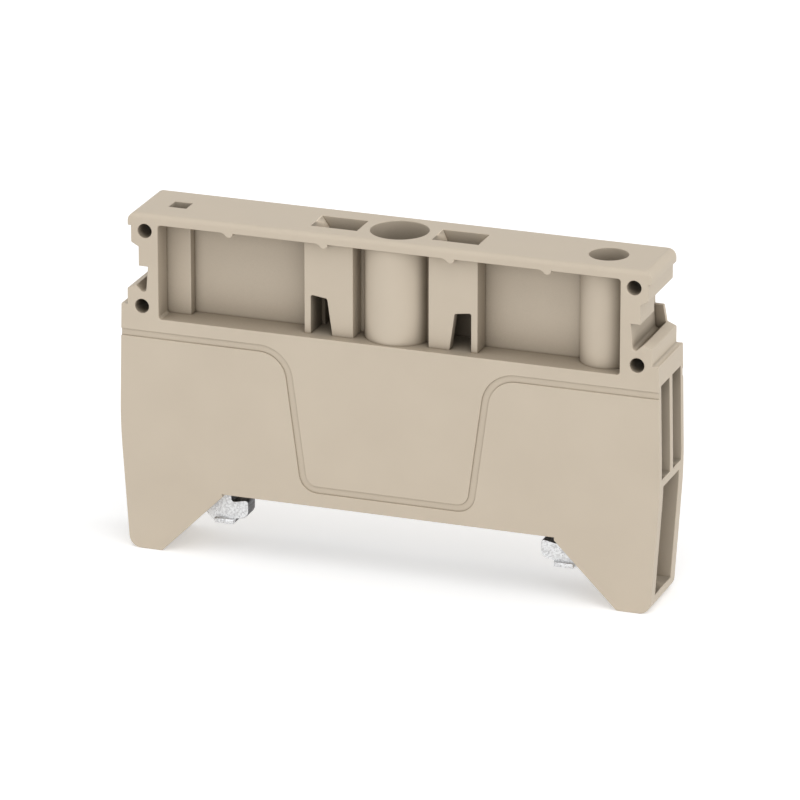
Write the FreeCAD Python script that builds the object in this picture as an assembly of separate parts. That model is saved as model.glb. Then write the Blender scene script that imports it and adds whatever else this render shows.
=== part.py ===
import FreeCAD, Part
import math
import os
from FreeCAD import Vector

# An end stop for a 35 mm mounting rail, screwed down on the rail to hold a row of terminals.
# X runs along the length, Y through the thickness and Z up; the leg ends stand on Z = 0.
# All sizes are in millimetres.

# Outer size of the moulded housing, whose length follows from the rail and the legs
body_thickness = 8.0
body_height = 36.35
outer_wall = 0.8
top_edge_radius = 0.55
back_edge_radius = 0.15

# The rail, and the room left round it
rail_width = 35.0
rail_flange = 1.0
rail_clearance = 0.1

# Legs, which straddle the rail and widen at 45 degrees from their feet up to its seat
leg_height = 7.0
seat_step = 0.3
foot_width = 3.54
foot_corner = 1.3
foot_draft = 0.9
belly_height = 13.5
belly_radius = 60.0

# Head above the shoulder under the marker slots
head_tall = 9.85
shoulder_draft = 0.3

# Head, seen from the front at one end, from the top down
head_inset = 1.07
head_corner = 0.9
lip_height = 1.4
lip_overhang = 0.35
cheek_height = 1.75
cheek_bevel = 0.45
neck_inset = 0.8
neck_height = 2.05
neck_depth = 4.5

# Marker slot cut into each end, and the thin web that closes it at the back
slot_inset = 1.0
slot_lean = 0.25
slot_floor_rise = 1.13
slot_floor_radius = 0.3
slot_web = 0.5
lug_inset = 0.95
lug_rise = 2.12
lug_width = 0.95
lug_fall = 0.4

# Recess in the front and the back of the head
recess_end_wall = 4.35
recess_floor_drop = 1.3
recess_corner = 0.3
top_deck = 1.1
web = 0.8

# Half-round nibs under the edge of the top deck
nib_radius = 0.46
nib_depth = 1.2
nib_flare = 1.2
nib_flare_drop = 1.18
nib_flare_reach = 1.1
nib_root = 0.3
nib_places = (6.75, 16.95)

# Bore for the screwdriver and the tube round it
bore_radius = 3.0
tube_wall = 0.6
shank_clearance = 0.15
head_room_over = 0.45

# Round plug hole at one end of the head and square marker hole at the other
plug_hole_radius = 2.0
plug_hole_inset = 6.87
plug_wall = 0.83
blind_floor = 0.8
square_hole_length = 1.9
square_hole_width = 1.86
square_wall = 0.7
square_side_wall = 1.07

# Marker pockets beside the bore, with sloping mouths and side windows
pocket_start = 4.48
pocket_length = 3.7
pocket_width = 3.4
inner_funnel = 0.5
outer_funnel = 0.8
funnel_depth = 1.15
inner_pocket_wall = 0.45
outer_pocket_wall = 1.09
pocket_wall = 0.75
window_start = 6.28
window_lean = 0.55
window_end = 8.57
window_height = 3.88
window_tilt = 0.24
window_corner = 0.2
window_depth = 0.4

# Cross holes through the end columns
cross_hole_radius = 0.75
upper_hole_inset = 1.42
upper_hole_drop = 0.75
lower_hole_inset = 1.82
lower_hole_over_floor = 1.22

# Shallow line round the centre panel
groove_width = 0.73
groove_depth = 0.2
groove_drop = 3.46
groove_over_seat = 1.45
panel_top_half = 11.05
panel_bottom_half = 8.8
panel_top_radius = 3.0
panel_bottom_radius = 2.0

# Cores that hollow the housing
core_deck = 0.95
centre_rib = 0.9
end_bar_drop = 0.3
end_bar = 0.9
foot_floor = 1.7
leg_skin = 1.2
leg_wall = 1.4
core_rib = 0.8
core_count = 3
screw_block_half = 4.5

# Clamping yoke, one stamped and folded sheet of steel
sheet = 2.0
yoke_front = -1.9
yoke_clearance = 0.2
yoke_up = 0.3
yoke_down = 1.6
limb_width = 2.8
bridge_height = 3.6
bridge_over_rail = 1.0
yoke_corner = 1.4
hook_reach = 1.85
hook_rise = 0.4
hook_depth = 2.7
hook_root_radius = 0.3
nose_height = 2.0
nose_radius = 0.9
nose_tip_radius = 0.35
chin_reach = 0.5
chin_drop = 0.2
hem_proud = 0.45
hem_tall = 0.55
hem_start = 0.35
hem_long = 2.1
limb_foot_bevel = 0.9
keel_half = 5.2
keel_lean = 1.0
keel_over_seat = 0.5
keel_strip = 1.4
fold_radius = 0.3

# Screw and square nut
thread_radius = 1.5
thread_gap = 0.05
screw_length = 8.0
head_radius = 2.55
head_height = 2.0
head_edge = 0.3
head_gap = 0.1
driver_slot_width = 0.8
driver_slot_depth = 0.9
seat_gap = 0.05
tip_bevel = 0.4
nut_side = 5.5
nut_height = 2.4
nut_bevel = 0.3
nut_gap = 0.1
thread_run_off = 0.6
tab_room_gap = 0.4

# Places worked out from the sizes above
half_thick = body_thickness / 2
inner_half = half_thick - outer_wall
seat_half = rail_width / 2 + rail_clearance
leg_inner = seat_half + leg_height
shoulder_height = body_height - head_tall
lean_up = math.atan2(shoulder_draft, shoulder_height - belly_height)
lean_down = math.atan2(foot_draft, belly_height)
belly_bulge = math.cos((lean_down - lean_up) / 2) / math.cos((lean_down + lean_up) / 2) - 1
belly_corner = leg_inner + foot_width + foot_draft
half_length = belly_corner - belly_radius * belly_bulge
head_half = half_length - head_inset
cheek_half = head_half - lip_overhang
neck_half = cheek_half - neck_inset
slot_half = neck_half - slot_inset
lug_half = half_length - lug_inset
recess_half = half_length - recess_end_wall
recess_top = body_height - top_deck
recess_floor = shoulder_height - recess_floor_drop
groove_height = shoulder_height - groove_drop
groove_bottom = leg_height + groove_over_seat
lip_bottom = body_height - lip_height
cheek_bottom = lip_bottom - cheek_height
neck_top = cheek_bottom - cheek_bevel
neck_bottom = neck_top - neck_height
slot_floor = shoulder_height + slot_floor_rise
lug_top = shoulder_height + lug_rise
tube_radius = bore_radius + tube_wall
core_top = recess_floor - core_deck
leg_half = half_thick - leg_wall

hook_top = leg_height - rail_flange - rail_clearance
bridge_bottom = leg_height + yoke_down + bridge_over_rail
bridge_top = bridge_bottom + bridge_height
limb_inner = seat_half + rail_clearance
limb_outer = limb_inner + limb_width
yoke_back = yoke_front + sheet
hook_bottom = hook_top - hook_depth
keel_bottom = leg_height + keel_over_seat
window_bottom = keel_bottom + keel_strip
screw_tip = window_bottom + yoke_up + yoke_clearance
screw_seat = screw_tip + screw_length - seat_gap
head_room_top = screw_seat + seat_gap + head_height + head_room_over
nut_half = nut_side / 2
nut_bottom = screw_tip + yoke_down - thread_run_off
nut_top = nut_bottom + nut_height
tab_bottom = nut_top + thread_gap
tab_top = tab_bottom + sheet
tab_half = nut_half + nut_gap
yoke_room_top = bridge_top + yoke_up + yoke_clearance
tab_room_top = tab_top + yoke_up + yoke_clearance
leg_core_top = yoke_room_top - end_bar_drop
past = 1.0
tiny = 0.001


def box(x0, x1, y0, y1, z0, z1):
    """A block between two corners."""
    size = Vector(x1 - x0, y1 - y0, z1 - z0)
    return Part.makeBox(size.x, size.y, size.z, Vector(x0, y0, z0))


def post(radius, x, y, z0, z1):
    """An upright cylinder."""
    return Part.makeCylinder(radius, z1 - z0, Vector(x, y, z0))


def cross_pin(radius, x, z, y0, y1):
    """A cylinder along the thickness."""
    return Part.makeCylinder(radius, y1 - y0, Vector(x, y0, z), Vector(0, 1, 0))


def plate(corners, y0, y1):
    """A flat outline in the XZ plane, given as (x, z, corner radius), made y1 - y0 thick."""
    edges = []
    starts = []
    ends = []
    count = len(corners)
    for i in range(count):
        here = Vector(corners[i][0], y0, corners[i][1])
        before = Vector(corners[i - 1][0], y0, corners[i - 1][1]) - here
        after = Vector(corners[(i + 1) % count][0], y0, corners[(i + 1) % count][1]) - here
        radius = corners[i][2]
        if radius == 0:
            starts.append(here)
            ends.append(here)
            continue
        before.normalize()
        after.normalize()
        half_angle = before.getAngle(after) / 2
        reach = radius / math.tan(half_angle)
        middle = before + after
        middle.normalize()
        arc_middle = here + middle * (radius / math.sin(half_angle) - radius)
        starts.append(here + before * reach)
        ends.append(here + after * reach)
        edges.append(Part.Arc(starts[-1], arc_middle, ends[-1]).toShape())
    for i in range(count):
        edges.append(Part.LineSegment(ends[i - 1], starts[i]).toShape())
    wire = Part.Wire(Part.__sortEdges__(edges))
    return Part.Face(wire).extrude(Vector(0, y1 - y0, 0))


def both_ends(half_outline):
    """An outline given from the top right down to the bottom right, closed by its mirror image."""
    left = [(-x, z, radius) for x, z, radius in reversed(half_outline)]
    return half_outline + left


def mirrored(solid):
    """The same solid at the other end of the length."""
    return solid.mirror(Vector(0, 0, 0), Vector(1, 0, 0))


def front_and_back(solid):
    """A cutter for the front face together with its mirror image for the back face."""
    return [solid, solid.mirror(Vector(0, 0, 0), Vector(0, 1, 0))]


def end_outline():
    """Right-hand edge of the housing from the top deck down to the rail seat."""
    return [
        (head_half, body_height, head_corner),
        (head_half, lip_bottom, 0),
        (cheek_half, lip_bottom, 0),
        (cheek_half, cheek_bottom, 0),
        (neck_half, neck_top, 0),
        (neck_half, neck_bottom, 0),
        (slot_half, neck_bottom, 0),
        (slot_half + slot_lean, slot_floor, slot_floor_radius),
        (lug_half - lug_width, lug_top, 0),
        (lug_half, lug_top - lug_fall, 0),
        (lug_half, shoulder_height, 0),
        (belly_corner - shoulder_draft, shoulder_height, 0),
        (belly_corner, belly_height, belly_radius),
        (belly_corner - foot_draft, 0, foot_corner),
        (leg_inner, 0, 0),
        (seat_half + seat_step, leg_height - seat_step, 0),
        (seat_half + seat_step, leg_height, 0),
    ]


def housing_blank():
    """The outer form before it is hollowed, with its long top edges rounded."""
    blank = plate(both_ends(end_outline()), -half_thick, half_thick)
    rounding = plate(
        [
            (-half_thick, body_height, top_edge_radius),
            (half_thick, body_height, back_edge_radius),
            (half_thick, 0, 0),
            (-half_thick, 0, 0),
        ],
        -half_length,
        half_length,
    )
    rounding.rotate(Vector(0, 0, 0), Vector(0, 0, 1), 90)
    return blank.common(rounding)


def recess_cutter():
    """The front recess, around the tube, the hole columns, the pocket blocks and the nibs."""
    room = plate(
        [
            (recess_half, recess_top, recess_corner),
            (recess_half, recess_floor, recess_corner),
            (-recess_half, recess_floor, recess_corner),
            (-recess_half, recess_top, recess_corner),
        ],
        -half_thick - past,
        -web / 2,
    )
    tube = post(tube_radius, 0, 0, recess_floor, recess_top)
    plug_place = half_length - plug_hole_inset
    plug_column = post(plug_hole_radius + plug_wall, plug_place, 0, recess_floor, recess_top)
    square_half = square_hole_width / 2 + square_side_wall
    square_end = square_hole_length + square_wall - recess_half
    square_column = box(-recess_half, square_end, -square_half, 0, recess_floor, recess_top)
    islands = [tube, plug_column, square_column]
    for side in (-1, 1):
        islands.append(pocket_block(side))
        for place in nib_places:
            islands += deck_nib(side * place)
    return room.cut(islands)


def deck_nib(place):
    """A half-round nib under the edge of the top deck, and the hollow flare on its left."""
    nib = cross_pin(nib_radius, place, recess_top, -half_thick, nib_depth - half_thick)
    flare = plate(
        [
            (place - nib_flare_reach, recess_top, 0),
            (place, recess_top, 0),
            (place - nib_radius / 2, recess_top - nib_root, 0),
        ],
        -half_thick,
        nib_depth - half_thick,
    )
    hollow_place = place - nib_flare_reach
    hollow = cross_pin(nib_flare, hollow_place, recess_top - nib_flare_drop, -half_thick - past, half_thick)
    return [nib, flare.cut(hollow)]


def pocket_block(side):
    """The square column round one marker pocket."""
    inner = pocket_start - inner_pocket_wall
    outer = pocket_start + pocket_length + outer_pocket_wall
    half_width = pocket_width / 2 + pocket_wall
    block = box(inner, outer, -half_width, half_width, recess_floor, recess_top)
    if side < 0:
        return mirrored(block)
    return block


def marker_pocket(side):
    """One marker pocket with its sloping mouth and the window in the front of its block."""
    inner = pocket_start
    outer = pocket_start + pocket_length
    top = body_height
    inner_slope = inner_funnel * past / funnel_depth
    outer_slope = outer_funnel * past / funnel_depth
    pocket = plate(
        [
            (inner - inner_funnel - inner_slope, top + past, 0),
            (outer + outer_funnel + outer_slope, top + past, 0),
            (outer, top - funnel_depth, 0),
            (outer, recess_floor, 0),
            (inner, recess_floor, 0),
            (inner, top - funnel_depth, 0),
        ],
        -pocket_width / 2,
        pocket_width / 2,
    )
    window = plate(
        [
            (window_start + window_lean, recess_floor + window_height, window_corner),
            (window_end, recess_floor + window_height + window_tilt, window_corner),
            (window_end, recess_floor, 0),
            (window_start, recess_floor, 0),
        ],
        -half_thick,
        window_depth,
    )
    cutter = pocket.fuse(window)
    if side < 0:
        return mirrored(cutter)
    return cutter


def top_openings():
    """The screwdriver bore, the plug hole, the square hole and both marker pockets."""
    bore = post(bore_radius, 0, 0, head_room_top, body_height + past)
    head_room = post(head_radius + head_gap, 0, 0, screw_seat, head_room_top + past)
    shank_hole = post(thread_radius + shank_clearance, 0, 0, leg_height, screw_seat + past)
    blind = recess_floor + blind_floor
    plug = post(plug_hole_radius, half_length - plug_hole_inset, 0, blind, body_height + past)
    square = box(
        -recess_half,
        square_hole_length - recess_half,
        -square_hole_width / 2,
        square_hole_width / 2,
        blind,
        body_height + past,
    )
    return [bore, head_room, shank_hole, plug, square, marker_pocket(-1), marker_pocket(1)]


def end_details():
    """Cross holes and the cut behind the neck, at both ends."""
    cutters = []
    upper = (recess_half + upper_hole_inset, recess_top - upper_hole_drop)
    lower = (recess_half + lower_hole_inset, recess_floor + lower_hole_over_floor)
    for x, z in (upper, lower):
        cutters.append(cross_pin(cross_hole_radius, x, z, -half_thick - past, half_thick + past))
    behind_neck = plate(
        [
            (cheek_half + past, cheek_bottom, 0),
            (cheek_half, cheek_bottom, 0),
            (neck_half, neck_top, 0),
            (slot_half, neck_top, 0),
            (slot_half, neck_bottom, 0),
            (cheek_half + past, neck_bottom, 0),
        ],
        neck_depth - half_thick,
        half_thick + past,
    )
    cutters.append(behind_neck)
    return cutters + [mirrored(cutter) for cutter in cutters]


def slot_webs():
    """Thin web that closes each marker slot at the back face."""
    right = plate(
        [
            (neck_half, neck_bottom - slot_floor_radius, 0),
            (lug_half - lug_width, lug_top, 0),
            (slot_half + slot_lean, slot_floor - slot_floor_radius, 0),
            (slot_half - past / 2, slot_floor - slot_floor_radius, 0),
            (slot_half - past / 2, neck_bottom - slot_floor_radius, 0),
        ],
        half_thick - slot_web,
        half_thick,
    )
    return [right, mirrored(right)]


def panel_outline(inset):
    """The tongue-shaped centre panel and the band above it, drawn in by an even inset."""
    slope = math.hypot(panel_top_half - panel_bottom_half, groove_height - groove_bottom)
    side = inset * slope / (groove_height - groove_bottom)
    lean = (panel_top_half - panel_bottom_half) / (groove_height - groove_bottom)
    top = groove_height + inset
    bottom = groove_bottom + inset
    top_half = panel_top_half - side + lean * inset
    bottom_half = panel_bottom_half - side + lean * inset
    half = [
        (half_length + past, groove_height + 2 * past, 0),
        (half_length + past, top, 0),
        (top_half, top, panel_top_radius + inset),
        (bottom_half, bottom, panel_bottom_radius - inset),
    ]
    return both_ends(half)


def panel_groove():
    """The shallow line round the centre panel on the front face."""
    floor = groove_depth - half_thick
    outer = plate(panel_outline(0), -half_thick - past, floor)
    inner = plate(panel_outline(groove_width), -half_thick - past, floor)
    above = box(
        -half_length - 2 * past,
        half_length + 2 * past,
        -half_thick - past,
        floor,
        groove_height + groove_width,
        groove_height + 3 * past,
    )
    return outer.cut([inner, above])


def end_cores():
    """Two narrow cores above the bar and one wide core in the leg, cut in from the right end."""
    core_inner = limb_outer + yoke_clearance + outer_wall
    skin_line = leg_inner + leg_skin
    cores = []
    for side in (-1, 1):
        near = side * centre_rib / 2
        far = side * inner_half
        cores.append(
            box(
                seat_half + outer_wall,
                half_length + past,
                min(near, far),
                max(near, far),
                leg_core_top + end_bar,
                core_top,
            )
        )
    leg_core = plate(
        [
            (half_length + past, leg_core_top, 0),
            (core_inner, leg_core_top, 0),
            (core_inner, skin_line - core_inner, 0),
            (skin_line - foot_floor, foot_floor, 0),
            (half_length + past, foot_floor, 0),
        ],
        -leg_half,
        leg_half,
    )
    cores.append(leg_core)
    return cores


def rail_side_cores():
    """A row of cores between the screw block and the leg, open towards the rail."""
    room = seat_half - outer_wall / 2 - screw_block_half
    width = (room - core_rib * (core_count - 1)) / core_count
    cores = []
    for i in range(core_count):
        start = screw_block_half + i * (width + core_rib)
        core = box(start, start + width, -inner_half, inner_half, leg_height - past, core_top)
        cores.append(core)
    return cores


def yoke_room():
    """The space in which the clamping yoke and its nut slide."""
    room_half = limb_outer + yoke_clearance
    slit = box(
        -room_half,
        room_half,
        yoke_front - yoke_clearance,
        yoke_back + yoke_clearance,
        -past,
        yoke_room_top,
    )
    tab_room_half = tab_half + tab_room_gap
    tab_room = box(
        -tab_room_half,
        tab_room_half,
        -inner_half,
        inner_half,
        leg_height - past,
        tab_room_top,
    )
    return [slit, tab_room]


def make_housing():
    """The moulded housing, one piece of glass-filled polyamide."""
    body = housing_blank()
    cutters = front_and_back(recess_cutter()) + front_and_back(panel_groove())
    cutters += top_openings() + end_details()
    for core in end_cores() + rail_side_cores():
        cutters += [core, mirrored(core)]
    cutters += yoke_room()
    body = body.cut(cutters)
    return body.fuse(slot_webs()).removeSplitter()


def make_yoke():
    """The steel yoke: a bridge inside the housing, two limbs and a hook under each rail edge."""
    nose = limb_inner - hook_reach
    half = [
        (tab_half, tab_top, 0),
        (tab_half, bridge_top, 0),
        (limb_outer, bridge_top, yoke_corner),
        (limb_outer, hook_bottom + limb_foot_bevel, 0),
        (limb_outer - limb_foot_bevel, hook_bottom, 0),
        (limb_inner - hem_start, hook_bottom, 0),
        (limb_inner - chin_reach, hook_top - nose_height - chin_drop, 0),
        (nose, hook_top - nose_height, nose_radius),
        (nose, hook_top, nose_tip_radius),
        (limb_inner, hook_top - hook_rise, hook_root_radius),
        (limb_inner, bridge_bottom, hook_root_radius),
        (keel_half, bridge_bottom, 0),
        (keel_half - keel_lean, keel_bottom, 0),
    ]
    sheet_plate = plate(both_ends(half), yoke_front, yoke_back)
    window_half = nut_half + nut_gap
    window = box(-window_half, window_half, yoke_front - past, yoke_back + past, window_bottom, tab_bottom)
    tab = box(-tab_half, tab_half, yoke_front, inner_half - yoke_clearance, tab_bottom, tab_top)
    screw_hole = post(thread_radius + shank_clearance, 0, 0, tab_bottom - past, tab_top + past)
    hem = box(
        limb_inner - hem_start,
        limb_inner - hem_start + hem_long,
        yoke_front - hem_proud,
        yoke_front + past / 2,
        hook_bottom,
        hook_bottom + hem_tall,
    )
    yoke = sheet_plate.cut(window).fuse([tab, hem, mirrored(hem)])
    yoke = yoke.cut(screw_hole).removeSplitter()
    fold = [
        edge
        for edge in yoke.Edges
        if abs(edge.BoundBox.YMax - yoke_front) < tiny
        and abs(edge.BoundBox.ZMin - tab_top) < tiny
        and edge.BoundBox.XLength > tab_half
    ]
    return yoke.makeFillet(fold_radius, fold)


def make_nut():
    """A square nut held in the window of the yoke, under its folded tab."""
    nut = box(-nut_half, nut_half, -nut_half, nut_half, nut_bottom, nut_top)
    top = nut_top - nut_bevel
    cone = Part.makeCone(
        nut_half * math.sqrt(2) + nut_bevel,
        nut_half * math.sqrt(2) - nut_bevel * 2,
        nut_bevel * 2,
        Vector(0, 0, top - nut_bevel),
    )
    lower = box(-nut_half, nut_half, -nut_half, nut_half, nut_bottom, top)
    nut = nut.common(cone.fuse(lower))
    return nut.cut(post(thread_radius + thread_gap, 0, 0, nut_bottom - past, nut_top + past))


def make_screw():
    """The clamping screw, a slotted cheese head resting on the ledge at the foot of the bore."""
    under_head = screw_seat + seat_gap
    head_top = under_head + head_height
    shank = post(thread_radius, 0, 0, screw_tip, under_head + past / 2)
    tip = [edge for edge in shank.Edges if abs(edge.BoundBox.ZMax - screw_tip) < tiny]
    shank = shank.makeChamfer(tip_bevel, tip)
    head = post(head_radius, 0, 0, under_head, head_top)
    rim = [edge for edge in head.Edges if abs(edge.BoundBox.ZMin - head_top) < tiny]
    head = head.makeFillet(head_edge, rim)
    slot = box(
        -head_radius - past,
        head_radius + past,
        -driver_slot_width / 2,
        driver_slot_width / 2,
        head_top - driver_slot_depth,
        head_top + past,
    )
    return shank.fuse(head).cut(slot)


def save(solid, name):
    """Writes one piece as a STEP file and prints its size."""
    if len(solid.Solids) != 1 or not solid.isValid():
        raise ValueError(name + " is not one sound solid: " + str(len(solid.Solids)))
    solid = solid.Solids[0]
    solid.exportStep("parts/" + name + ".step")
    bounds = solid.BoundBox
    print(name, round(solid.Volume, 1), "mm3", [round(v, 2) for v in (
        bounds.XMin, bounds.XMax, bounds.YMin, bounds.YMax, bounds.ZMin, bounds.ZMax)])


os.makedirs("parts", exist_ok=True)
save(make_housing(), "housing")
save(make_yoke(), "clamping_yoke")
save(make_nut(), "square_nut")
save(make_screw(), "clamping_screw")
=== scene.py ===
import bpy
import bmesh
import math
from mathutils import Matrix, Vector


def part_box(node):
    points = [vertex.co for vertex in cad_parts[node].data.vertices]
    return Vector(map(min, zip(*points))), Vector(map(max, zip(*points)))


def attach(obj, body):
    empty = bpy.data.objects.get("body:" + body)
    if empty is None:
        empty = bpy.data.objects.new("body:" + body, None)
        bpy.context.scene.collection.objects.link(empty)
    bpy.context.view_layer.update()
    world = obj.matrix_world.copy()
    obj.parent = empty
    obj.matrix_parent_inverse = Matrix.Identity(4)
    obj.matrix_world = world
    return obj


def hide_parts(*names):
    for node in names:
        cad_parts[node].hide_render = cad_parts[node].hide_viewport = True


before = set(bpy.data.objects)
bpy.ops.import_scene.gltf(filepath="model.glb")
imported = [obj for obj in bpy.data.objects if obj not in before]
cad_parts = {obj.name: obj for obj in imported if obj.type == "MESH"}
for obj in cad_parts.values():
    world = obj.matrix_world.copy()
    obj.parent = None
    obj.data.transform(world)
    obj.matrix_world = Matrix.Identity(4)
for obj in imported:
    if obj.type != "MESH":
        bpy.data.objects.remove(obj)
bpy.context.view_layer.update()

# Studio. The part stands on its two leg ends on a plain pale table, under an even
# pale surround and five broad soft lamps, the strongest high in front.
floor_half = 3.0
floor_level = -0.00001
paper_grey = 0.90
paper_light = 0.34
surround_light = 0.626
lamp_softness = math.radians(40)
lamps = (
    ("front_lamp", 0, 15, 0.50),
    ("high_lamp", 22, 62, 0.80),
    ("left_lamp", -82, 13, 0.39),
    ("right_front_lamp", 63, 6, 0.46),
    ("right_lamp", 100, 30, 0.48),
)


def direction(side, height):
    """The way from the part towards those two angles, to the side and up."""
    return Vector(
        (
            math.sin(side) * math.cos(height),
            -math.cos(side) * math.cos(height),
            math.sin(height),
        )
    )


def seen_by(tree, rays):
    """A value that is 1 for those kinds of ray and 0 for the others."""
    path = tree.nodes.new("ShaderNodeLightPath")
    seen = path.outputs[rays[0]]
    for ray in rays[1:]:
        either = tree.nodes.new("ShaderNodeMath")
        either.operation = "MAXIMUM"
        tree.links.new(seen, either.inputs[0])
        tree.links.new(path.outputs[ray], either.inputs[1])
        seen = either.outputs[0]
    return seen


floor_mesh = bpy.data.meshes.new("table_top")
floor_mesh.from_pydata(
    [
        (-floor_half, -floor_half, floor_level),
        (floor_half, -floor_half, floor_level),
        (floor_half, floor_half, floor_level),
        (-floor_half, floor_half, floor_level),
    ],
    [],
    [(0, 1, 2, 3)],
)
table_top = bpy.data.objects.new("table_top", floor_mesh)
bpy.context.scene.collection.objects.link(table_top)

paper = bpy.data.materials.new("pale_paper")
paper.use_nodes = True
tree = paper.node_tree
tree.nodes.clear()
paper_out = tree.nodes.new("ShaderNodeOutputMaterial")
paper_matt = tree.nodes.new("ShaderNodeBsdfDiffuse")
paper_matt.inputs["Color"].default_value = (paper_grey, paper_grey, paper_grey, 1)
paper_lift = tree.nodes.new("ShaderNodeEmission")
paper_amount = tree.nodes.new("ShaderNodeMath")
paper_amount.operation = "MULTIPLY"
paper_amount.inputs[1].default_value = paper_light
tree.links.new(seen_by(tree, ("Is Camera Ray", "Is Glossy Ray")), paper_amount.inputs[0])
tree.links.new(paper_amount.outputs[0], paper_lift.inputs["Strength"])
paper_sum = tree.nodes.new("ShaderNodeAddShader")
tree.links.new(paper_matt.outputs[0], paper_sum.inputs[0])
tree.links.new(paper_lift.outputs[0], paper_sum.inputs[1])
tree.links.new(paper_sum.outputs[0], paper_out.inputs["Surface"])
floor_mesh.materials.append(paper)

world = bpy.data.worlds.new("pale_surround")
world.use_nodes = True
bpy.context.scene.world = world
tree = world.node_tree
tree.nodes.clear()
world_out = tree.nodes.new("ShaderNodeOutputWorld")
surround = tree.nodes.new("ShaderNodeBackground")
surround.inputs["Strength"].default_value = surround_light
white_card = tree.nodes.new("ShaderNodeBackground")
white_card.inputs["Color"].default_value = (1, 1, 1, 1)
white_card.inputs["Strength"].default_value = 1.0
white_rays = ("Is Camera Ray", "Is Transmission Ray", "Is Glossy Ray")
world_mix = tree.nodes.new("ShaderNodeMixShader")
tree.links.new(seen_by(tree, white_rays), world_mix.inputs["Fac"])
tree.links.new(surround.outputs[0], world_mix.inputs[1])
tree.links.new(white_card.outputs[0], world_mix.inputs[2])
tree.links.new(world_mix.outputs[0], world_out.inputs["Surface"])

for lamp_name, side_angle, height_angle, power in lamps:
    lamp_data = bpy.data.lights.new(lamp_name, "SUN")
    lamp_data.energy = power
    lamp_data.angle = lamp_softness
    lamp = bpy.data.objects.new(lamp_name, lamp_data)
    bpy.context.scene.collection.objects.link(lamp)
    toward_lamp = direction(math.radians(side_angle), math.radians(height_angle))
    lamp.rotation_mode = "QUATERNION"
    lamp.rotation_quaternion = (-toward_lamp).to_track_quat("-Z", "Y")

bpy.context.scene.view_settings.view_transform = "Standard"

# Camera. It stands to the right of the front and above it, at the photograph's
# angle, with a long lens.
camera_azimuth = math.radians(19.93)
camera_elevation = math.radians(19.92)
camera_distance = 0.6767
camera_target = Vector((0.00002, 0.0, 0.01817))
toward_camera = direction(camera_azimuth, camera_elevation)
camera_data = bpy.data.cameras.new("camera")
camera_data.lens = 300.3
camera_data.sensor_width = 36.0
camera_data.clip_start = 0.05
camera_data.clip_end = 20.0
camera = bpy.data.objects.new("camera", camera_data)
bpy.context.scene.collection.objects.link(camera)
camera.location = camera_target + toward_camera * camera_distance
camera.rotation_mode = "QUATERNION"
camera.rotation_quaternion = (-toward_camera).to_track_quat("-Z", "Y")
bpy.context.scene.camera = camera


# Housing. One moulding in beige glass-filled polyamide: a head with open recesses,
# a screwdriver tube, marker pockets and slots, over two legs that straddle the rail.
# Its mould leaves every edge with a small radius and the faces with a fine matt grain.
housing_edge = 0.00009
housing_weld = 0.00003
housing_height = 0.0364
same_point = 0.0000005
flat_angle = math.radians(0.6)
sharp_angle = math.radians(38)

# The face of the left column is drawn further back than in the solid.
column_start = 0.0218
column_depth = 0.0020
column_seen_depth = 0.0015

# The faces of the pocket blocks are drawn further forward than in the solid.
block_end = 0.0105
block_depth = 0.00245
block_seen_depth = 0.00275

# The sloping parts of the groove are drawn further out, most at their foot.
groove_foot = 0.00845
groove_top = 0.02377
groove_margin = 0.0001
groove_back = 0.0035
groove_foot_shift = 0.00045
groove_top_shift = 0.00013

# The slopes in the pocket mouths are painted lighter than the rest, a painted light, and take none
# of the painted shade; the gaps beside the tube take a smaller share of the painted shade.
ramp_floor = 0.0340
ramp_slope = 0.3
gap_inner = 0.0034
gap_outer = 0.0041
gap_floor = 0.0253

beige_tones = ((0.3, (0.590, 0.507, 0.401)), (0.7, (0.614, 0.530, 0.421)))
ramp_painted_light_beige = ((0.810, 0.696, 0.551), (0.842, 0.727, 0.578))

# Painted shade: hollows and corners are darkened in the colour by how closed in they lie; the
# share of that painted shade in the hollows goes by height.
painted_shade_reach = 0.012
painted_shade_tones = ((0.0, (0.20, 0.18, 0.155)), (0.80, (1, 1, 1)))
painted_shade_shares_by_height = ((0.60, 0.50), (0.68, 1.0), (0.84, 1.0), (0.965, 0.80), (1.0, 0.60))
# The gaps beside the tube take this smaller, fixed share of the painted shade.
gap_painted_shade_share = 0.35
# Painted shade: thin dark lines in concave corners, from ambient occlusion within 0.4 mm.
corner_shade_reach = 0.0004
corner_shade_tones = ((0.30, (0.45, 0.42, 0.36)), (0.80, (1, 1, 1)))


def welded_form(node_name, weld):
    """The node's form as one closed mesh, with its flat faces made whole."""
    form = bmesh.new()
    form.from_mesh(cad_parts[node_name].data)
    bmesh.ops.remove_doubles(form, verts=form.verts, dist=same_point)
    bmesh.ops.dissolve_limit(
        form,
        angle_limit=flat_angle,
        use_dissolve_boundaries=False,
        verts=form.verts,
        edges=form.edges,
    )
    bmesh.ops.remove_doubles(form, verts=form.verts, dist=weld)
    return form


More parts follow.
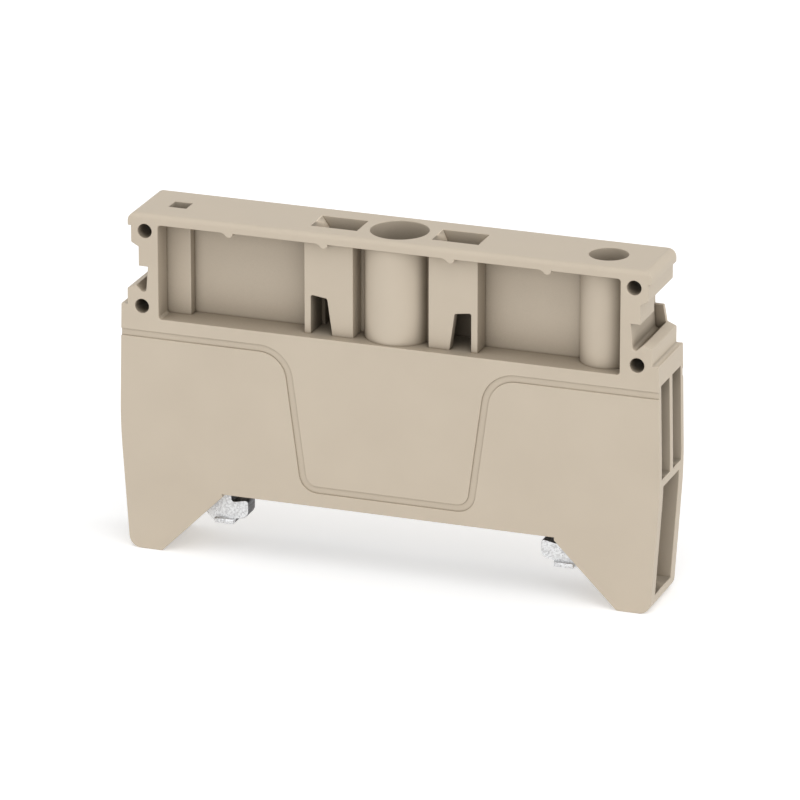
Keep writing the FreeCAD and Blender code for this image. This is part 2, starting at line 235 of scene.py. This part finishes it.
def rounded_piece(form, piece_name, edge_radius, finishes):
    """A piece with that form and those materials, and with its outer edges rounded."""
    rounded = form.edges.layers.float.new("bevel_weight_edge")
    for face in form.faces:
        face.smooth = True
    for edge in form.edges:
        if edge.calc_face_angle(0) > sharp_angle:
            if edge.is_convex:
                edge[rounded] = 1.0
            else:
                edge.smooth = False
    mesh = bpy.data.meshes.new(piece_name)
    form.to_mesh(mesh)
    form.free()
    layer = mesh.attributes.get("custom_normal")
    if layer is not None:
        mesh.attributes.remove(layer)
    mesh.materials.clear()
    for finish in finishes:
        mesh.materials.append(finish)
    piece = bpy.data.objects.new(piece_name, mesh)
    bpy.context.scene.collection.objects.link(piece)
    rounding = piece.modifiers.new("edge_rounding", "BEVEL")
    rounding.width = edge_radius
    rounding.segments = 2
    rounding.limit_method = "WEIGHT"
    rounding.use_clamp_overlap = False
    rounding.loop_slide = False
    flats = piece.modifiers.new("flat_face_shading", "WEIGHTED_NORMAL")
    flats.mode = "FACE_AREA"
    flats.weight = 100
    flats.keep_sharp = True
    return piece


def new_finish(finish_name):
    """A new material, with its node tree, its surface and the places on the piece."""
    finish = bpy.data.materials.new(finish_name)
    finish.use_nodes = True
    tree = finish.node_tree
    place = tree.nodes.new("ShaderNodeTexCoord").outputs["Object"]
    return finish, tree, tree.nodes["Principled BSDF"], place


def noise(tree, place, scale, detail, roughness=0.5):
    """The value of a noise laid over the piece."""
    texture = tree.nodes.new("ShaderNodeTexNoise")
    texture.inputs["Scale"].default_value = scale
    texture.inputs["Detail"].default_value = detail
    texture.inputs["Roughness"].default_value = roughness
    tree.links.new(place, texture.inputs["Vector"])
    return texture.outputs["Fac"]


def tone_ramp(tree, source, tones):
    """A ramp through tones, each a position and a colour, that follows the source."""
    ramp = tree.nodes.new("ShaderNodeValToRGB")
    elements = ramp.color_ramp.elements
    for element, (position, colour) in zip(elements, tones):
        element.position = position
        element.color = (*colour, 1)
    for position, colour in tones[2:]:
        elements.new(position).color = (*colour, 1)
    tree.links.new(source, ramp.inputs["Fac"])
    return ramp


def spread(tree, source, low, high, source_low=0.0, source_high=1.0):
    """The source, brought from its own range to the range from low to high."""
    spreading = tree.nodes.new("ShaderNodeMapRange")
    spreading.inputs["From Min"].default_value = source_low
    spreading.inputs["From Max"].default_value = source_high
    spreading.inputs["To Min"].default_value = low
    spreading.inputs["To Max"].default_value = high
    tree.links.new(source, spreading.inputs["Value"])
    return spreading.outputs["Result"]


def relief(tree, surface, source, strength, height):
    """Fine unevenness of the surface that follows the source."""
    bump = tree.nodes.new("ShaderNodeBump")
    bump.inputs["Strength"].default_value = strength
    bump.inputs["Distance"].default_value = height
    tree.links.new(source, bump.inputs["Height"])
    tree.links.new(bump.outputs["Normal"], surface.inputs["Normal"])


def openness(tree, reach):
    """How open the piece lies around each place, within that reach."""
    around = tree.nodes.new("ShaderNodeAmbientOcclusion")
    around.only_local = True
    around.samples = 8
    around.inputs["Distance"].default_value = reach
    return around.outputs["AO"]


def multiplied(tree, colour, tone):
    """A colour multiplied by a tone, in full unless its share is linked or set."""
    mix = tree.nodes.new("ShaderNodeMix")
    mix.data_type = "RGBA"
    mix.blend_type = "MULTIPLY"
    mix.inputs["Factor"].default_value = 1.0
    tree.links.new(colour, mix.inputs["A"])
    tree.links.new(tone, mix.inputs["B"])
    return mix


polyamide, tree, plastic, place = new_finish("beige_polyamide")
plastic.inputs["Specular IOR Level"].default_value = 0.35
flow = noise(tree, place, scale=170, detail=3, roughness=0.45)
tint = tone_ramp(tree, flow, beige_tones)
# Painted shade: the beige is darkened in hollows by ambient occlusion within 12 mm, by a share
# that goes by height.
painted_shade_ramp = tone_ramp(tree, openness(tree, painted_shade_reach), painted_shade_tones)
painted_shade_mix = multiplied(tree, tint.outputs["Color"], painted_shade_ramp.outputs["Color"])
axes = tree.nodes.new("ShaderNodeSeparateXYZ")
tree.links.new(place, axes.inputs["Vector"])
level = spread(tree, axes.outputs["Z"], low=0.0, high=1.0, source_high=housing_height)
share_tones = [(position, (share, share, share)) for position, share in painted_shade_shares_by_height]
painted_shade_share = tone_ramp(tree, level, share_tones)
tree.links.new(painted_shade_share.outputs["Color"], painted_shade_mix.inputs["Factor"])
# Painted shade in the corners, laid over the painted shade of the hollows.
corner_shade_ramp = tone_ramp(tree, openness(tree, corner_shade_reach), corner_shade_tones)
corner_shade_mix = multiplied(tree, painted_shade_mix.outputs["Result"], corner_shade_ramp.outputs["Color"])
tree.links.new(corner_shade_mix.outputs["Result"], plastic.inputs["Base Color"])
gloss = spread(tree, flow, low=0.50, high=0.62, source_low=0.3, source_high=0.7)
tree.links.new(gloss, plastic.inputs["Roughness"])
grain = noise(tree, place, scale=9000, detail=2)
relief(tree, plastic, grain, strength=0.12, height=0.00002)

# Painted light: a copy of the plastic with a lighter beige and no painted shade, for the slopes in
# the pocket mouths.
painted_light_ramp_polyamide = polyamide.copy()
painted_light_ramp_polyamide.name = "beige_polyamide_ramp_painted_light"
ramp_nodes = painted_light_ramp_polyamide.node_tree.nodes
ramp_painted_light_tint = ramp_nodes[tint.name]
for element, colour in zip(ramp_painted_light_tint.color_ramp.elements, ramp_painted_light_beige):
    element.color = (*colour, 1)
painted_light_ramp_polyamide.node_tree.links.new(
    ramp_painted_light_tint.outputs["Color"], ramp_nodes[plastic.name].inputs["Base Color"]
)

# A copy of the plastic with a fixed, smaller share of the painted shade, which paints the gaps
# beside the tube lighter.
less_shaded_gap_polyamide = polyamide.copy()
less_shaded_gap_polyamide.name = "beige_polyamide_gap_less_painted_shade"
gap_shade_mix = less_shaded_gap_polyamide.node_tree.nodes[painted_shade_mix.name]
less_shaded_gap_polyamide.node_tree.links.remove(gap_shade_mix.inputs["Factor"].links[0])
gap_shade_mix.inputs["Factor"].default_value = gap_painted_shade_share

housing_form = welded_form("housing", housing_weld)
for point in housing_form.verts:
    reach = abs(point.co.x)
    depth = abs(point.co.y)
    height = point.co.z
    if point.co.x < -column_start and abs(depth - column_depth) < housing_weld:
        point.co.y *= column_seen_depth / column_depth
    if reach < block_end and abs(depth - block_depth) < housing_weld:
        point.co.y *= block_seen_depth / block_depth
    sloping = groove_foot - groove_margin < height < groove_top + groove_margin
    if reach < column_start and depth > groove_back and sloping:
        share = (height - groove_foot) / (groove_top - groove_foot)
        shift = groove_foot_shift + (groove_top_shift - groove_foot_shift) * share
        point.co.x += math.copysign(shift, point.co.x)
housing_finishes = (polyamide, painted_light_ramp_polyamide, less_shaded_gap_polyamide)
housing_moulding = rounded_piece(housing_form, "housing_moulding", housing_edge, housing_finishes)
# The mouth slopes take the painted-light copy, and the gaps beside the tube take the copy with
# less painted shade.
for face in housing_moulding.data.polygons:
    reach = abs(face.center.x)
    steep = abs(face.normal.x) > ramp_slope and face.normal.z > ramp_slope
    if steep and reach < block_end and face.center.z > ramp_floor:
        face.material_index = 1
    if gap_inner < reach < gap_outer and abs(face.center.y) < block_seen_depth:
        if gap_floor < face.center.z < ramp_floor:
            face.material_index = 2
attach(housing_moulding, "stop_body")
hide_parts("housing")


# Clamping yoke. Stamped and folded from 2 mm galvanised steel sheet, with a hook for
# each rail edge. The zinc has bright and dull crystals and the stamped edges are rounded.
yoke_edge = 0.00009
yoke_weld = 0.00005
fold_level = 0.0125
hem_front = -0.0019
edge_facing = 0.5
zinc_tones = ((0.1, (0.50, 0.50, 0.51)), (0.75, (0.78, 0.79, 0.80)))
# Painted shade: the sheared edge faces low on the hooks are near black, far darker than bare
# steel, standing for the dark reflection there.
sheared_painted_shade_tones = ((0.35, (0.10, 0.10, 0.10)), (0.65, (0.22, 0.22, 0.23)))

zinc, tree, steel, place = new_finish("galvanised_sheet")
steel.inputs["Metallic"].default_value = 0.85
crystal = tree.nodes.new("ShaderNodeTexVoronoi")
crystal.inputs["Scale"].default_value = 6500
tree.links.new(place, crystal.inputs["Vector"])
crystal_tone = tone_ramp(tree, crystal.outputs["Color"], zinc_tones)
tree.links.new(crystal_tone.outputs["Color"], steel.inputs["Base Color"])
crystal_gloss = spread(tree, crystal.outputs["Color"], low=0.25, high=0.5)
tree.links.new(crystal_gloss, steel.inputs["Roughness"])
relief(tree, steel, crystal.outputs["Distance"], strength=0.5, height=0.00004)

# Bare sheared steel with streaks, its tone darkened to a painted shade.
sheared_edge_and_shade, tree, bare, place = new_finish("sheared_steel_edge_painted_shade")
bare.inputs["Metallic"].default_value = 0.9
streak_place = tree.nodes.new("ShaderNodeMapping")
streak_place.inputs["Scale"].default_value = (9000, 900, 9000)
tree.links.new(place, streak_place.inputs["Vector"])
streak = noise(tree, streak_place.outputs["Vector"], scale=1, detail=2)
streak_tone = tone_ramp(tree, streak, sheared_painted_shade_tones)
tree.links.new(streak_tone.outputs["Color"], bare.inputs["Base Color"])
tree.links.new(spread(tree, streak, low=0.4, high=0.6), bare.inputs["Roughness"])
relief(tree, bare, streak, strength=0.4, height=0.00003)

yoke_form = welded_form("clamping_yoke", yoke_weld)
yoke_sheet = rounded_piece(yoke_form, "yoke_sheet", yoke_edge, (zinc, sheared_edge_and_shade))
# The cut side faces low on the hooks, behind the hem's front, take the near-black painted shade.
for face in yoke_sheet.data.polygons:
    shaded_cut_edge = abs(face.normal.y) < edge_facing
    if shaded_cut_edge and face.center.z < fold_level and face.center.y > hem_front:
        face.material_index = 1
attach(yoke_sheet, "yoke_body")
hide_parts("clamping_yoke")


# Square nut. Cut from bar and zinc plated, with its upper corners turned off; it sits in
# the window of the yoke, which keeps it from turning.
nut_edge = 0.00006
nut_weld = 0.00001
nut_tones = ((0.3, (0.58, 0.60, 0.62)), (0.7, (0.74, 0.76, 0.78)))


def plate(tree, surface, place, cloud_scale, tones, gloss_low, gloss_high):
    """Zinc plating, cloudy in its tone and its gloss; gives the value of the clouds."""
    surface.inputs["Metallic"].default_value = 0.9
    cloud = noise(tree, place, cloud_scale, detail=3)
    tree.links.new(tone_ramp(tree, cloud, tones).outputs["Color"], surface.inputs["Base Color"])
    tree.links.new(spread(tree, cloud, gloss_low, gloss_high), surface.inputs["Roughness"])
    return cloud


nut_zinc, tree, nut_face, place = new_finish("plated_nut")
cloud = plate(tree, nut_face, place, 1400, nut_tones, gloss_low=0.28, gloss_high=0.48)
relief(tree, nut_face, cloud, strength=0.3, height=0.00002)

nut_form = welded_form("square_nut", nut_weld)
nut_block = rounded_piece(nut_form, "nut_block", nut_edge, (nut_zinc,))
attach(nut_block, "yoke_body")
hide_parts("square_nut")


# Clamping screw. A slotted cheese head turned from bar over a rolled thread of 0.5 mm
# pitch, zinc plated; it rests on the ledge at the foot of the bore and draws the nut up.
screw_edge = 0.00003
screw_weld = 0.00001
screw_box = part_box("clamping_screw")
screw_bottom = screw_box[0][2]
head_height = 0.0020
head_under = screw_box[1][2] - head_height
shank_radius = 0.0015
shank_margin = 0.00001
core_radius = 0.00121
screw_tones = ((0.3, (0.60, 0.62, 0.64)), (0.7, (0.78, 0.80, 0.82)))

# The thread is one ridge in a coil, given by places along its pitch and its rise there.
thread_pitch = 0.0005
thread_steps = 36
thread_ridge = ((0.08, 0), (0.42, 1), (0.58, 1), (0.92, 0))
thread_crest = 0.00148
thread_sink = 0.00002
thread_start = 0.0003
thread_fade = 18
plain_turns = 1.5

screw_zinc, tree, turned, place = new_finish("plated_screw")
plate(tree, turned, place, 1200, screw_tones, gloss_low=0.22, gloss_high=0.40)
tool_marks = tree.nodes.new("ShaderNodeTexWave")
tool_marks.wave_type = "RINGS"
tool_marks.rings_direction = "Z"
tool_marks.inputs["Scale"].default_value = 2600
tool_marks.inputs["Distortion"].default_value = 0.6
tree.links.new(place, tool_marks.inputs["Vector"])
relief(tree, turned, tool_marks.outputs["Fac"], strength=0.25, height=0.00001)

screw_form = welded_form("clamping_screw", screw_weld)
for point in screw_form.verts:
    reach = math.hypot(point.co.x, point.co.y)
    if point.co.z < head_under + shank_margin and reach < shank_radius + shank_margin:
        point.co.x *= core_radius / shank_radius
        point.co.y *= core_radius / shank_radius
thread_count = int((head_under - screw_bottom) / thread_pitch - plain_turns) * thread_steps
ring_before = None
for step in range(thread_count + 1):
    turn = 2 * math.pi * step / thread_steps
    fade = min(1, (step + 1) / thread_fade, (thread_count - step + 1) / thread_fade)
    ring = []
    for share, rise in thread_ridge:
        reach = core_radius - thread_sink + (thread_crest - core_radius) * rise * fade
        height = screw_bottom + thread_start + (share + step / thread_steps) * thread_pitch
        ring.append(screw_form.verts.new((reach * math.cos(turn), reach * math.sin(turn), height)))
    if ring_before is None:
        screw_form.faces.new(ring)
    else:
        for side in range(len(ring)):
            after = (side + 1) % len(ring)
            screw_form.faces.new((ring_before[side], ring[side], ring[after], ring_before[after]))
    ring_before = ring
screw_form.faces.new(ring_before[::-1])
screw_turned = rounded_piece(screw_form, "screw_turned", screw_edge, (screw_zinc,))
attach(screw_turned, "screw_body")
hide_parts("clamping_screw")
